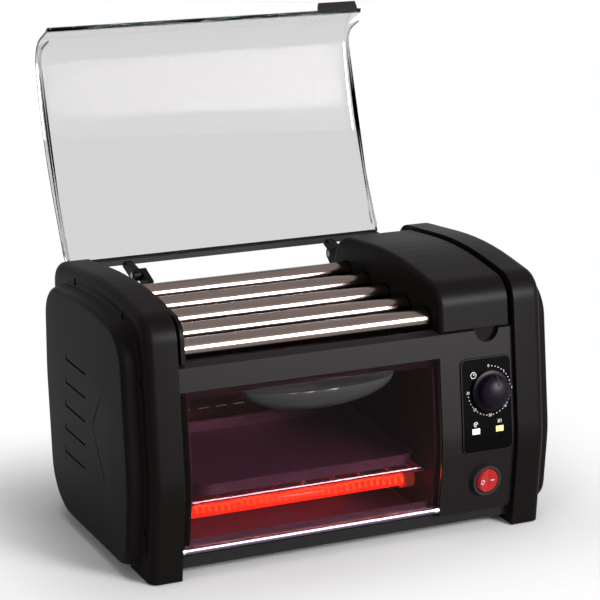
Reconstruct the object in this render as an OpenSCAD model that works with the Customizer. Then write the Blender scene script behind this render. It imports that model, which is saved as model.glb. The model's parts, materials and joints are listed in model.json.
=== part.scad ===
// Hot dog toaster: five driven rollers over a small oven, between two moulded end caps.
// Millimetres. +X is the machine's right, -Y its front, +Z up, and the feet stand on z = 0.
// Side outlines are drawn in the (y, z) plane, with y = 0 near the front of the roller bed.

/* [Body] */
// Width over the flat rims of the two end caps
body_w = 330; // [324:1:380]
// Width of each end cap's band
cap_w = 25; // [22:1:32]
// How far the raised panel of an end cap stands out from its rim
bulge_h = 13; // [6:1:16]
// Radius of the end cap's outer edge
cap_edge_r = 7; // [4:1:9]
// Wall of the moulded plastic covers
plastic_t = 2.5; // [2:0.1:3]
// Thickness of the folded sheet metal
sheet_t = 1; // [0.8:0.1:1.4]
// How far the front cover and rear panel lie inside the end caps' outline
skin_inset = 4; // [3.5:0.1:5]
// How far the drive housing lies below the end caps' outline
housing_inset = 2; // [1.6:0.1:3]
// How far the left bed wall lies below the end caps' outline
bed_wall_inset = 5; // [4:0.1:6]
// Thickness of the left bed wall
bed_wall_t = 3.2; // [2.6:0.1:4]
// Slot between an end cap and the bed wall or housing, for the lid's flange
flange_slot = 4.6; // [4.2:0.1:6]

/* [Roller bed] */
// Diameter of a roller tube
roller_d = 16; // [13:0.5:18]
// Distance between neighbouring rollers
roller_pitch = 33; // [31:1:36]
// Depth of the middle roller
roller_mid_y = 38.4; // [36:0.2:40]
// Height of the roller axes
roller_z = 166; // [164:0.5:168]
// Diameter of the roller shafts
shaft_d = 8; // [6:0.5:9]
// Width of the drive housing, with the slot beside it
housing_w = 64; // [60:1:70]

/* [Drive] */
// Gear module
gear_m = 1; // [1]
// Teeth on each roller gear
roller_teeth = 18; // [18]
// Teeth on the motor pinion
pinion_teeth = 12; // [12]
// Width of the gears
gear_w = 6; // [4:0.5:7]
// Diameter of the idler axles
idler_axle_d = 4; // [3:0.5:5]
// Diameter of the drive motor
motor_d = 46; // [40:1:50]
// Length of the drive motor
motor_len = 22; // [16:1:26]

/* [Door] */
// Top of the door opening
door_top = 141; // [136:1:143]
// Height of the door's hinge rod
door_rod_z = 21; // [19:0.5:24]
// Diameter of the door's hinge rod
door_rod_d = 5; // [4:0.5:6]
// Thickness of the door glass
glass_t = 3; // [2.5:0.1:4]
// Width of the door handle
handle_w = 124; // [100:1:140]
// How far the handle stands out from the glass
handle_out = 20; // [14:1:22]

/* [Controls] */
// Height of the timer shaft on the front
timer_z = 112; // [106:1:116]
// Diameter of the timer knob's skirt
knob_skirt_d = 32; // [26:1:33]
// Diameter of the timer knob's grip
knob_grip_d = 27; // [20:1:28]
// How far the timer knob stands out
knob_out = 16; // [12:1:20]
// Diameter of the timer shaft
timer_shaft_d = 6; // [5:0.5:7]
// Distance of the control axis from the right end cap
control_in = 22.5; // [21:0.5:25]
// Height of the rocker switch
rocker_z = 42; // [38:1:46]
// Diameter of the rocker switch's hole in the front cover
rocker_hole_d = 23; // [22:0.5:24]
// Width of the control plate
plate_w = 44; // [40:1:45]
// Height of the control plate
plate_h = 73; // [66:1:75]

/* [Lid] */
// Thickness of the clear lid
lid_t = 2; // [1.6:0.1:2.4]
// How far the lid stands above the end caps' outline
lid_rise = 1; // [0.8:0.1:1.4]
// Depth of the lid's side flanges
flange_depth = 8; // [6:0.5:10]
// Depth of the hinge line
hinge_y = 147; // [145:0.5:150]
// Height of the hinge line
hinge_z = 168.5; // [167:0.5:170]
// Diameter of the hinge pins
hinge_pin_d = 5; // [4:0.5:6]
// Angle through which the lid opens
lid_angle = 112; // [100:1:114]
// Distance of the hinge arms from the middle
hinge_arm_x = 87; // [80:1:95]

/* [Oven] */
// Distance of the oven's left wall from the left end cap
oven_left_gap = 9; // [7:0.5:14]
// Distance of the oven's right wall from the drive housing
oven_right_gap = 4; // [3:0.5:10]
// Height of the drip plate over the oven
drip_z = 133; // [128:1:134]
// Diameter of the quartz tubes
quartz_d = 11; // [9:0.5:12]
// Height of the lower heaters
lower_heater_z = 35; // [33:1:39]
// Height of the wire rack
rack_z = 51; // [48:1:60]
// Diameter of the rack's wires
wire_d = 3; // [2.5:0.1:3.5]
// Height of the bun tray's rim
tray_h = 9; // [6:0.5:12]
// Height of the crumb tray's floor
crumb_z = 10; // [9.5:0.1:12]

/* [Fits] */
// Gap round a part that slides or turns
running_gap = 0.5; // [0.4:0.1:0.8]
// Radial clearance of a shaft in its bush
bush_gap = 0.05; // [0.03:0.01:0.08]
// Gap between parts that only lie beside each other
seat_gap = 0.2; // [0.1:0.05:0.3]

/* [Hidden] */
$fn = 64;

// Corners of an end cap's side outline: depth, height, corner radius and steps in its arc
CAP_CORNERS = [[-64, -20, 0, 0], [108.5, -20, 0, 0], [131, 110, 220, 3], [136.5, 192, 16, 8],
    [34, 205.2, 330, 8], [-45, 196, 22, 9], [-66.8, 72, 120, 4]];
foot_gap = 0.8;
foot_top_z = 6.5;
front_foot_back_y = -27;
rear_foot_front_y = 87;
cap_floor_z = 9;
rim_x = body_w / 2;
cap_in = rim_x - cap_w;
housing_x = cap_in - housing_w;
oven_left_x = -cap_in + oven_left_gap;
oven_right_x = housing_x - oven_right_gap;
bed_x = cap_in - flange_slot;
side_plate_t = 1.4;
side_plate_x = cap_in - side_plate_t;
pan_x = side_plate_x - seat_gap;
cover_x = cap_in - seat_gap;

bulge_inset = 13;
// Corner radii of the raised panel, in the order of CAP_CORNERS
BULGE_RADII = [20, 44, 200, 26, 300, 34, 110];
bulge_edge_r = 5;
bulge_draft = 1.5;
bulge_bottom_z = -6.3;
vent_count = 5;
vent_pitch = 18.6;
vent_len = 40;
vent_h = 1.6;
vent_z = 132.5;
vent_y = 33;
crease_d = 0.8;

screw_hole_r = 3;
screw_head_r = 2.7;
screw_shank_r = 1.8;
boss_r = 5;
// Places of the cap screws on the rim
CAP_SCREWS = [[86, 188.6], [-8, 188.4], [-43.6, 150], [-55.6, 39], [124, 150], [111.4, 50]];

pad_h = 2;
pad_x0 = cap_in + 5;
pad_x1 = rim_x - 5;
PAD_YS = [[-58, -32], [91, 105]];

housing_back_y = 128;
rail_z0 = 157;
rail_z1 = 165;
rail_y0 = 119;
pan_y0 = -56;
pan_y1 = 104;
pan_z = foot_top_z + 0.3;
pan_lip_h = 9.2;
housing_bottom_z = 142;
housing_edge_r = 4;
cover_notch_y = -39.5;
ledge_front_z = 158.4;
ledge_back_z = 161;
lid_line_z = 161.2;

roller_r = roller_d / 2;
shaft_r = shaft_d / 2;
shaft_end_r = 3;
roller_x0 = -bed_x + bed_wall_t + 0.6;
roller_x1 = housing_x + 5;
tube_wall = 0.8;
plug_len = 3;

plate_t = 1.5;
inner_plate_x = housing_x + 8;
gear_x = inner_plate_x + plate_t + 2.5;
outer_plate_x = gear_x + gear_w + 3;
outer_plate_end = outer_plate_x + plate_t;
gear_plate_y0 = -36;
gear_plate_y1 = 118;
gear_plate_z0 = 144;
gear_plate_z1 = 184;
bush_r = shaft_r + 2;
bush_flange_r = bush_r + 1;
spacer_r = 4;
spacer_hole_r = 1.6;
idler_teeth = 2 * (roller_pitch / 2) / gear_m - roller_teeth;
addendum = 0.8 * gear_m;
dedendum = 1.15 * gear_m;
backlash = 0.12;
pinion_z = roller_z - gear_m * (roller_teeth + pinion_teeth) / 2;
motor_offset = 12;
motor_z = pinion_z - motor_offset;
motor_shaft_r = 3;

door_x0 = -cap_in + 1;
door_x1 = housing_x - 0.8;
door_rod_r = door_rod_d / 2;
pivot_len = 3;
pivot_pin_r = 1.5;
pivot_reach = 6;
handle_x = (door_x0 + door_x1) / 2 + 4.5;
handle_z = door_top - 4;

timer_x = cap_in - control_in;
timer_hole_r = timer_shaft_d / 2 + 1;
timer_w = 38;
timer_h = 34;
timer_depth = 26;
timer_bore = 9;
skirt_h = 3;
plate_x = timer_x - 2.5;
plate_z = 101.5;
plate_r = 5;
plate_skin = 0.8;
rocker_x = timer_x - 3;
rocker_r = 9.9;
rocker_out = 1;
rocker_tilt = 20;
rocker_pin_r = 1.2;
switch_depth = 22;
bezel_r = 13.5;
bezel_h = 3;
dimple_r = 10.5;
lens_w = 6.5;
lens_h = 4.2;
lens_z = 82;
lens_spread = 10.4;

oven_inset = skin_inset + door_rod_d + 1.5;
oven_bottom_z = 12;
drip_y0 = -44;
drip_y1 = 116;
heater_cap_r = 7.5;
heater_cap_len = 9;
coil_r = 3;
coil_wire_r = 0.6;
coil_turns = 36;
front_heater_y = -20;
rear_heater_y = 74;
upper_heater_z = 145;
rail_w = 8;
rack_y0 = -42;
rack_y1 = 100;
rack_bars = 9;
tray_x0 = oven_left_x + 13;
tray_x1 = oven_right_x - 5;
tray_y0 = -36;
tray_y1 = 88;
tray_r = 12;
crumb_x_gap = 0.6;
crumb_y0 = -50;
crumb_y1 = 110;
crumb_side_h = 5;
crumb_front_z = 26;
rail_top_z = rack_z - wire_d / 2 - 0.3;
rack_x0 = oven_left_x + sheet_t + rail_w / 2;
rack_x1 = oven_right_x - rail_w / 2;
tray_z = rack_z + wire_d / 2;
crumb_x0 = oven_left_x + sheet_t + crumb_x_gap;
crumb_x1 = oven_right_x - crumb_x_gap;
runner_in = 9;
runner_w = 3;
lip_x0 = -60;
lip_x1 = 10;
lip_out = 12;

louvre_columns = 12;
louvre_rows = 4;
louvre_pitch = 16;
louvre_w = 11;
louvre_h = 3;
louvre_x = -112;
louvre_z = 60;

gland_x = cap_in - 35;
gland_z = 40;
gland_bore_r = 3.6;
gland_r = 6;
gland_flange_r = 8.5;
gland_y0 = 108;
gland_y1 = 123;

flange_t = 2;
lid_x = cap_in - flange_slot / 2 + flange_t / 2;
lid_slope = 0.124;
arm_w = 6;
lug_w = 5;
knuckle_r = 5;
tab_w = 36;
tab_out = 7;
strip_t = 0.8;
strip_h = 4;
bar_z = 181;
bar_h = 6.5;
bar_x = lid_x - flange_t - seat_gap;

// The middle of the machine's depth with its lid open lies over the origin
middle_y = 83.7;

// Outline functions
function unit(v) = v / norm(v);
function flat(p) = [p[0], p[1]];
function inward(a, b) = let (d = unit(b - a)) [-d[1], d[0]];
function moved_in(corners, d) = let (n = len(corners)) [
    for (i = [0:n - 1])
        let (p = flat(corners[i]), before = flat(corners[(i + n - 1) % n]))
        let (after = flat(corners[(i + 1) % n]))
        let (side = inward(before, p), half = unit(side + inward(p, after)))
        let (q = p + half * d / (half * side), r = corners[i][2])
        [q[0], q[1], r == 0 ? 0 : max(r - d, 0.5), corners[i][3]]];
function arc(c, r, a, sweep, n) = [
    for (i = [0:n]) c + r * [cos(a + sweep * i / n), sin(a + sweep * i / n)]];
function round_corner(a, b, c, r, n) = n == 0 ? [b] :
    let (u = unit(a - b), v = unit(c - b), open = acos(u * v))
    let (m = b + unit(u + v) * r / sin(open / 2), s = b + u * r / tan(open / 2) - m)
    let (turn = (b - a)[0] * (c - b)[1] - (b - a)[1] * (c - b)[0])
    arc(m, r, atan2(s[1], s[0]), sign(turn) * (180 - open), n);
function rounded(corners) = let (n = len(corners)) [
    for (i = [0:n - 1])
        each round_corner(flat(corners[(i + n - 1) % n]), flat(corners[i]),
            flat(corners[(i + 1) % n]), corners[i][2], corners[i][3])];
// The end cap's outline with its bottom at another height, moved in by d
function side_corners(bottom_z) = let (c = CAP_CORNERS, f = (bottom_z + 20) / 92)
    let (g = (bottom_z + 20) / 130) [
    [c[0][0] + f * (c[6][0] - c[0][0]), bottom_z, 0, 0],
    [c[1][0] + g * (c[2][0] - c[1][0]), bottom_z, 0, 0], c[2], c[3], c[4], c[5], c[6]];
function outline(d) = rounded(moved_in(CAP_CORNERS, d));
// The raised panel's outline: inside the rim all round, with its own larger corner radii
function bulge_outline(d) = let (c = moved_in(side_corners(bulge_bottom_z), bulge_inset))
    rounded(moved_in([for (i = [0:6]) [c[i][0], c[i][1], BULGE_RADII[i], max(c[i][3], 6)]], d));
// Depth and lean of the front outline at a height
function front_y(z, d) = let (p = outline(d), n = len(p))
    lookup(z, concat([[p[0][1], p[0][0]]], [
        for (i = [n - 1:-1:2]) if (p[i][0] < -30 && p[i][1] < 190) [p[i][1], p[i][0]]]));
function front_lean(z) = atan((front_y(z + 6, skin_inset) - front_y(z - 6, skin_inset)) / 12);
function roller_y(i) = roller_mid_y + (i - 2) * roller_pitch;
function idler_y(i) = roller_y(i) + roller_pitch / 2;
rod_y = front_y(door_rod_z, skin_inset) + door_rod_r;

// Drawing helpers
module placed() translate([0, -middle_y, 0]) children();
module across(x0, x1) translate([x0, 0, 0]) rotate([90, 0, 90])
    linear_extrude(x1 - x0) children();
module rod(x0, x1, y, z, r) translate([x0, y, z]) rotate([0, 90, 0])
    cylinder(h = x1 - x0, r = r);
module block(x0, x1, y0, y1, z0, z1) translate([x0, y0, z0])
    cube([x1 - x0, y1 - y0, z1 - z0]);
module band(d0, d1) difference() {
    polygon(outline(d0));
    polygon(outline(d1));
}
module window(y0, y1, z0, z1) translate([y0, z0]) square([y1 - y0, z1 - z0]);
module on_front(x, z, d) translate([x, front_y(z, d), z])
    rotate([90 - front_lean(z), 0, 0]) children();
module loft(rings) {
    n = len(rings[0]);
    last = (len(rings) - 1) * n;
    sides = [for (j = [0:len(rings) - 2], i = [0:n - 1])
        let (a = j * n + i, b = j * n + (i + 1) % n)
        each [[a, b + n, b], [a, a + n, b + n]]];
    polyhedron([for (r = rings) each r],
        concat([[for (i = [0:n - 1]) i]], sides, [[for (i = [n - 1:-1:0]) last + i]]));
}
function ring(x, points) = [for (p = points) [x, p[0], p[1]]];

// End caps
module cap_body() {
    r = cap_edge_r;
    loft(concat([ring(cap_in, outline(0))], [
        for (a = [0:18:90]) ring(rim_x - r + r * sin(a), outline(r * (1 - cos(a))))]));
}
module cap_hollow() {
    r = cap_edge_r - plastic_t;
    c = side_corners(cap_floor_z - plastic_t);
    loft(concat([ring(cap_in + plastic_t, rounded(moved_in(c, plastic_t)))], [
        for (a = [0:30:90]) ring(rim_x - cap_edge_r + r * sin(a),
            rounded(moved_in(c, plastic_t + r * (1 - cos(a)))))]));
}
function bulge_ring(x, d) = ring(x, bulge_outline(d));
module bulge(x_start, cut) {
    r = bulge_edge_r;
    loft(concat([bulge_ring(x_start, cut)], [
        for (a = [0:18:90]) bulge_ring(rim_x + bulge_h - cut - r + r * sin(a),
            cut + bulge_draft + r * (1 - cos(a)))]));
}
module crease(y0, z0, y1, z1) {
    len_yz = norm([y1 - y0, z1 - z0]);
    translate([rim_x + bulge_h - crease_d, y0, z0]) rotate([atan2(z1 - z0, y1 - y0), 0, 0])
        translate([0, 0, -crease_d / 2]) cube([3, len_yz, crease_d]);
}
module end_cap() {
    $fn = 20;
    difference() {
        union() {
            cap_body();
            bulge(rim_x - 1, 0);
        }
        difference() {
            union() {
                cap_hollow();
                bulge(rim_x - plastic_t - 1, plastic_t);
            }
            for (s = CAP_SCREWS) rod(cap_in, rim_x - 1, s[0], s[1], boss_r);
        }
        across(cap_in - 1, cap_in + plastic_t + 1) intersection() {
            polygon(outline(2 * plastic_t + 9));
            window(-100, 160, cap_floor_z, housing_bottom_z);
        }
        block(cap_in - 1, rim_x + 30, -100, 160, -30, foot_gap);
        across(cap_in - 1, rim_x + 30) polygon([[front_foot_back_y, 0],
            [front_foot_back_y + 6, foot_top_z], [rear_foot_front_y - 6, foot_top_z],
            [rear_foot_front_y, 0]]);
        for (y = PAD_YS) block(pad_x0, pad_x1, y[0], y[1], 0, pad_h);
        for (i = [0:vent_count - 1])
            block(rim_x, rim_x + 30, vent_y, vent_y + vent_len, vent_z - i * vent_pitch,
                vent_z - i * vent_pitch + vent_h);
        crease(3, 126, 19, 98);
        crease(19, 98, -7, 63);
        for (s = CAP_SCREWS) {
            rod(rim_x - 2, rim_x + 1, s[0], s[1], screw_hole_r);
            rod(cap_in - 1, rim_x, s[0], s[1], screw_shank_r + 0.2);
        }
    }
}
module right_end_cap() color("#231f20") placed() end_cap();
module left_end_cap() color("#231f20") placed() mirror([1, 0, 0]) end_cap();
module cap_screws() color("#3a3a3c") placed() for (side = [0, 1], s = CAP_SCREWS)
    mirror([side, 0, 0]) {
        rod(rim_x - 2, rim_x - 0.8, s[0], s[1], screw_head_r);
        rod(side_plate_x - 1, rim_x - 2, s[0], s[1], screw_shank_r);
    }
module foot_pads() color("#1a1a1a") placed() for (side = [0, 1], y = PAD_YS)
    mirror([side, 0, 0]) block(pad_x0, pad_x1, y[0], y[1], 0, pad_h);

// Chassis
module side_plate() difference() {
    across(side_plate_x, cap_in) intersection() {
        polygon(outline(skin_inset + 3));
        window(-60, 125, pan_z, ledge_front_z - plastic_t - seat_gap);
    }
    for (s = CAP_SCREWS) rod(side_plate_x - 1, cap_in + 1, s[0], s[1], screw_shank_r + 0.2);
    rod(side_plate_x - 1, cap_in + 1, rod_y, door_rod_z, door_rod_r + seat_gap);
}
module right_side_plate() color("#8b8d90") placed() side_plate();
module left_side_plate() color("#8b8d90") placed() mirror([1, 0, 0]) side_plate();
module base_pan() color("#55565a") placed() union() {
    block(-pan_x, pan_x, pan_y0, pan_y1, pan_z, pan_z + sheet_t);
    block(-pan_x, pan_x, pan_y0, pan_y0 + sheet_t, pan_z, pan_z + pan_lip_h);
    for (side = [0, 1]) mirror([side, 0, 0])
        block(pan_x - sheet_t, pan_x, pan_y0 + runner_in, pan_y1, pan_z, door_rod_z - 1);
    for (x = [oven_left_x + runner_in, oven_right_x - runner_in - runner_w])
        block(x, x + runner_w, pan_y0 + runner_in, pan_y1, pan_z, crumb_z - seat_gap);
}
module rear_panel() color("#2b2a2c") placed() difference() {
    union() {
        across(-pan_x, pan_x) intersection() {
            band(skin_inset, skin_inset + sheet_t);
            window(60, 150, 18, rail_z1);
        }
        across(-bed_x + bed_wall_t + seat_gap, housing_x - seat_gap) intersection() {
            polygon(outline(skin_inset));
            window(rail_y0, 150, rail_z1 - sheet_t, rail_z1);
        }
        block(-bed_x + bed_wall_t + seat_gap, housing_x - seat_gap, rail_y0,
            rail_y0 + sheet_t, rail_z0, rail_z1);
    }
    for (i = [0:louvre_columns - 1], j = [0:louvre_rows - 1])
        translate([louvre_x + i * louvre_pitch, 100, louvre_z + j * louvre_pitch])
            cube([louvre_w, 50, louvre_h]);
    translate([gland_x, gland_y0 - 18, gland_z]) rotate([-90, 0, 0])
        cylinder(h = 50, r = gland_r + 0.1);
}
module cord_gland() color("#161616") placed() translate([gland_x, 0, gland_z])
    rotate([-90, 0, 0]) difference() {
        union() {
            translate([0, 0, gland_y0]) cylinder(h = gland_y1 - gland_y0 - 3, r = gland_r);
            translate([0, 0, gland_y1 - 4.6]) cylinder(h = 4.6, r = gland_flange_r);
        }
        translate([0, 0, gland_y0 - 1]) cylinder(h = gland_y1 - gland_y0 + 2, r = gland_bore_r);
    }

// Roller bed
module bed_notch() window(-100, cover_notch_y, 100, lid_line_z);
module left_bed_wall() color("#252122") placed() difference() {
    across(-bed_x, -bed_x + bed_wall_t) difference() {
        intersection() {
            polygon(outline(bed_wall_inset));
            window(-80, 130, housing_bottom_z, 220);
        }
        bed_notch();
    }
    for (i = [0:4]) rod(-bed_x - 1, -bed_x + bed_wall_t + 1, roller_y(i), roller_z, bush_r);
}
module roller_bush(x, flange_side) difference() {
    union() {
        rod(x[0], x[1], 0, 0, bush_r);
        rod(flange_side < 0 ? x[0] - 1 : x[1], flange_side < 0 ? x[0] : x[1] + 1, 0, 0,
            bush_flange_r);
    }
    rod(x[0] - 3, x[1] + 3, 0, 0, shaft_r + bush_gap);
}
module roller_bushes() color("#e6e0d0") placed() for (i = [0:4])
    translate([0, roller_y(i), roller_z]) {
        roller_bush([-bed_x, -bed_x + bed_wall_t], -1);
        roller_bush([inner_plate_x, inner_plate_x + plate_t], -1);
    }
module roller(i) color("#d9dbde") placed() translate([0, roller_y(i), roller_z]) {
    difference() {
        rod(roller_x0, roller_x1, 0, 0, roller_r);
        rod(roller_x0 + plug_len, roller_x1 - plug_len, 0, 0, roller_r - tube_wall);
    }
    rod(-bed_x - 1.4, roller_x0 + 0.1, 0, 0, shaft_r);
    rod(roller_x1 - 0.1, gear_x + gear_w + 0.5, 0, 0, shaft_r);
    rod(gear_x + gear_w, outer_plate_end + 0.5, 0, 0, shaft_end_r);
}
module roller_1() roller(0);
module roller_2() roller(1);
module roller_3() roller(2);
module roller_4() roller(3);
module roller_5() roller(4);

// Drive housing over the gears
HOUSING_CORNERS = [
    [front_y(housing_bottom_z, housing_inset), housing_bottom_z, 0, 0],
    [housing_back_y, housing_bottom_z, 0, 0], [housing_back_y + 0.5, 191, 24, 8],
    [CAP_CORNERS[4][0], CAP_CORNERS[4][1] - housing_inset, 330, 8],
    [CAP_CORNERS[5][0] + housing_inset, CAP_CORNERS[5][1] - housing_inset, 20, 8]];
function housing_ring(x, d) = ring(x, rounded(moved_in(HOUSING_CORNERS, d)));
module drive_housing() color("#231f20") placed() difference() {
    loft(concat([for (a = [90:-18:0]) housing_ring(housing_x + housing_edge_r * (1 - sin(a)),
        housing_edge_r * (1 - cos(a)))], [housing_ring(bed_x, 0)]));
    loft([housing_ring(housing_x + plastic_t, plastic_t + 1),
        housing_ring(housing_x + plastic_t + 2, plastic_t),
        housing_ring(bed_x - plastic_t, plastic_t)]);
    block(housing_x + plastic_t, bed_x - plastic_t, cover_notch_y + plastic_t,
        housing_back_y - plastic_t, housing_bottom_z - 1, housing_bottom_z + 12);
    across(housing_x - 10, bed_x + 10) bed_notch();
    for (i = [0:4]) rod(housing_x - 1, housing_x + plastic_t + 1, roller_y(i), roller_z,
        roller_r + 1);
}

// Gear train
function inv(a) = tan(a) * 180 / PI - a;
function flank(rr, rb, half) = half - (rr > rb ? inv(acos(rb / rr)) : 0);
module gear_2d(teeth, phase) {
    rp = gear_m * teeth / 2;
    rb = rp * cos(20);
    ra = rp + addendum;
    rd = rp - dedendum;
    half = 90 / teeth - backlash / (2 * rp) * 180 / PI + inv(20);
    radii = [rd, max(rb, rd), rp, ra];
    polygon([for (k = [0:teeth - 1]) let (c = phase + k * 360 / teeth)
        each concat([for (r = radii) r * [cos(c - flank(r, rb, half)), sin(c - flank(r, rb, half))]],
            [for (i = [3:-1:0]) radii[i] * [cos(c + flank(radii[i], rb, half)),
                sin(c + flank(radii[i], rb, half))]])]);
}
module gear(y, z, teeth, phase, bore_r) translate([gear_x, y, z]) difference() {
    rotate([90, 0, 90]) linear_extrude(gear_w) gear_2d(teeth, phase);
    rod(-1, gear_w + 1, 0, 0, bore_r);
}
module roller_gear(i) color("#efe9da") placed()
    gear(roller_y(i), roller_z, roller_teeth, (i % 2) * 180 / roller_teeth, shaft_r + 0.02);
module roller_gear_1() roller_gear(0);
module roller_gear_2() roller_gear(1);
module roller_gear_3() roller_gear(2);
module roller_gear_4() roller_gear(3);
module roller_gear_5() roller_gear(4);
module idler_gear(i) color("#efe9da") placed()
    gear(idler_y(i), roller_z, idler_teeth, (i % 2 == 0 ? 0 : 180 / idler_teeth),
        idler_axle_d / 2 + bush_gap);
module idler_gear_1() idler_gear(0);
module idler_gear_2() idler_gear(1);
module idler_gear_3() idler_gear(2);
module idler_gear_4() idler_gear(3);
SPACERS = [[gear_plate_y0 + 6, gear_plate_z0 + 5], [idler_y(0), gear_plate_z1 - 5],
    [gear_plate_y1 - 6, gear_plate_z0 + 5], [idler_y(3), gear_plate_z1 - 5]];
module gear_plate_inner() color("#9a9ca0") placed() difference() {
    block(inner_plate_x, inner_plate_x + plate_t, gear_plate_y0, gear_plate_y1,
        gear_plate_z0, gear_plate_z1);
    for (i = [0:4]) rod(inner_plate_x - 1, outer_plate_x, roller_y(i), roller_z, bush_r);
    for (s = SPACERS) rod(inner_plate_x - 1, outer_plate_x, s[0], s[1], spacer_hole_r);
}
module gear_plate_outer() color("#9a9ca0") placed() difference() {
    union() {
        block(outer_plate_x, outer_plate_end, gear_plate_y0, gear_plate_y1,
            gear_plate_z0, gear_plate_z1);
        block(outer_plate_x, outer_plate_end, roller_mid_y - 30, roller_mid_y + 30,
            motor_z - 18, gear_plate_z0 + 1);
        for (i = [0:3]) rod(gear_x - 1, outer_plate_x + 0.5, idler_y(i), roller_z,
            idler_axle_d / 2);
    }
    for (i = [0:4]) rod(outer_plate_x - 1, outer_plate_end + 1, roller_y(i), roller_z,
        shaft_end_r + bush_gap);
    for (s = SPACERS) rod(outer_plate_x - 1, outer_plate_end + 1, s[0], s[1], spacer_hole_r);
    rod(outer_plate_x - 1, outer_plate_end + 1, roller_mid_y, pinion_z, motor_shaft_r + 3);
}
module plate_spacers() color("#b5b7ba") placed() for (s = SPACERS) {
    rod(inner_plate_x + plate_t, outer_plate_x, s[0], s[1], spacer_r);
    rod(housing_x + plastic_t, inner_plate_x, s[0], s[1], spacer_r);
    rod(inner_plate_x - 1, outer_plate_x + 1, s[0], s[1], spacer_hole_r - 0.1);
}
module drive_motor() color("#a9abad") placed() union() {
    difference() {
        rod(outer_plate_end, outer_plate_end + motor_len, roller_mid_y, motor_z, motor_d / 2);
        rod(outer_plate_end - 1, outer_plate_end + 7, roller_mid_y, pinion_z,
            motor_shaft_r + bush_gap);
    }
    for (s = [-1, 1]) block(outer_plate_end, outer_plate_end + 1.2,
        roller_mid_y + s * 24 - 5, roller_mid_y + s * 24 + 5, motor_z - 5, motor_z + 5);
}
module motor_pinion() color("#c9b27c") placed() {
    gear(roller_mid_y, pinion_z, pinion_teeth, 0, 0.01);
    rod(gear_x + gear_w - 0.5, outer_plate_end + 6, roller_mid_y, pinion_z, motor_shaft_r);
}

// Front cover with the controls
module cover_section(z0, z1) intersection() {
    band(skin_inset, skin_inset + plastic_t);
    window(-100, 0, z0, z1);
}
module dimple_at() translate([timer_x, cover_notch_y - 4 - 15, ledge_front_z + 1])
    children();
module front_cover() color("#2a2528") placed() difference() {
    union() {
        across(-pan_x + seat_gap, pan_x - seat_gap)
            window(front_y(door_top, skin_inset) + 1, cover_notch_y - 4, door_top,
                door_top + plastic_t);
        across(-cover_x, cover_x) {
            cover_section(door_top, ledge_front_z);
            polygon([[front_y(ledge_front_z, skin_inset), ledge_front_z],
                [front_y(ledge_front_z, skin_inset) + 0.6, ledge_front_z - plastic_t],
                [cover_notch_y - 0.7, ledge_back_z - plastic_t],
                [cover_notch_y - 0.7, ledge_back_z]]);
        }
        across(housing_x, cover_x) cover_section(door_rod_z - 3, door_top + 1);
        across(housing_x, pan_x - seat_gap) window(front_y(door_rod_z - 3, skin_inset) + 1,
            pan_y0 - seat_gap, door_rod_z - 5, door_rod_z - 5 + plastic_t);
        across(housing_x, housing_x + plastic_t) intersection() {
            difference() {
                polygon(outline(skin_inset));
                polygon(outline(skin_inset + 12));
            }
            window(-100, 0, door_rod_z - 5, door_top + 1);
        }
        across(timer_x - dimple_r - 3, timer_x + dimple_r + 3) intersection() {
            polygon(outline(skin_inset + 1));
            window(-100, cover_notch_y - 1, door_top + 1, ledge_front_z - 1);
        }
    }
    dimple_at() rotate([90, 0, 0]) cylinder(h = 30, r = dimple_r, center = true);
    on_front(timer_x, timer_z, skin_inset) translate([0, 0, -10])
        cylinder(h = 20, r = timer_hole_r);
    on_front(rocker_x, rocker_z, skin_inset) translate([0, 0, -10])
        cylinder(h = 20, r = rocker_hole_d / 2);
    for (s = [-1, 1]) block(plate_x + s * lens_spread - lens_w / 2 - 0.4,
        plate_x + s * lens_spread + lens_w / 2 + 0.4, -100, -40, lens_z - lens_h / 2 - 0.4,
        lens_z + lens_h / 2 + 0.4);
}
module plate_outline() translate([plate_x, 0, plate_z]) rotate([90, 0, 0])
    linear_extrude(200, center = true) {
        square([plate_w - 2 * plate_r, plate_h], center = true);
        square([plate_w, plate_h - 2 * plate_r], center = true);
        for (i = [-1, 1], j = [-1, 1])
            translate([i * (plate_w / 2 - plate_r), j * (plate_h / 2 - plate_r)])
                circle(r = plate_r);
    }
module control_plate() color("#0e0d10") placed() difference() {
    intersection() {
        across(housing_x, cap_in) intersection() {
            band(skin_inset - plate_skin, skin_inset);
            window(-100, 0, 50, 150);
        }
        plate_outline();
    }
    on_front(timer_x, timer_z, skin_inset) translate([0, 0, -10])
        cylinder(h = 20, r = timer_hole_r);
    for (s = [-1, 1]) block(plate_x + s * lens_spread - lens_w / 2 - 0.1,
        plate_x + s * lens_spread + lens_w / 2 + 0.1, -100, -40, lens_z - lens_h / 2 - 0.1,
        lens_z + lens_h / 2 + 0.1);
}
module lens(side) intersection() {
    block(plate_x + side * lens_spread - lens_w / 2, plate_x + side * lens_spread + lens_w / 2,
        -70, front_y(lens_z, skin_inset) + 12, lens_z - lens_h / 2, lens_z + lens_h / 2);
    across(housing_x, cap_in) polygon(outline(skin_inset - plate_skin - 0.4));
}
module roll_lens() color("#f4f6f8") placed() lens(-1);
module heat_lens() color("#e6e27a") placed() lens(1);
module timer_body() color("#c8c2b2") placed() on_front(timer_x, timer_z, skin_inset)
    translate([0, 0, -plastic_t - seat_gap]) difference() {
        translate([-timer_w / 2, -timer_h / 2, -timer_depth])
            cube([timer_w, timer_h, timer_depth]);
        translate([0, 0, -timer_bore]) cylinder(h = timer_bore + 1,
            r = timer_shaft_d / 2 + bush_gap);
    }
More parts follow.
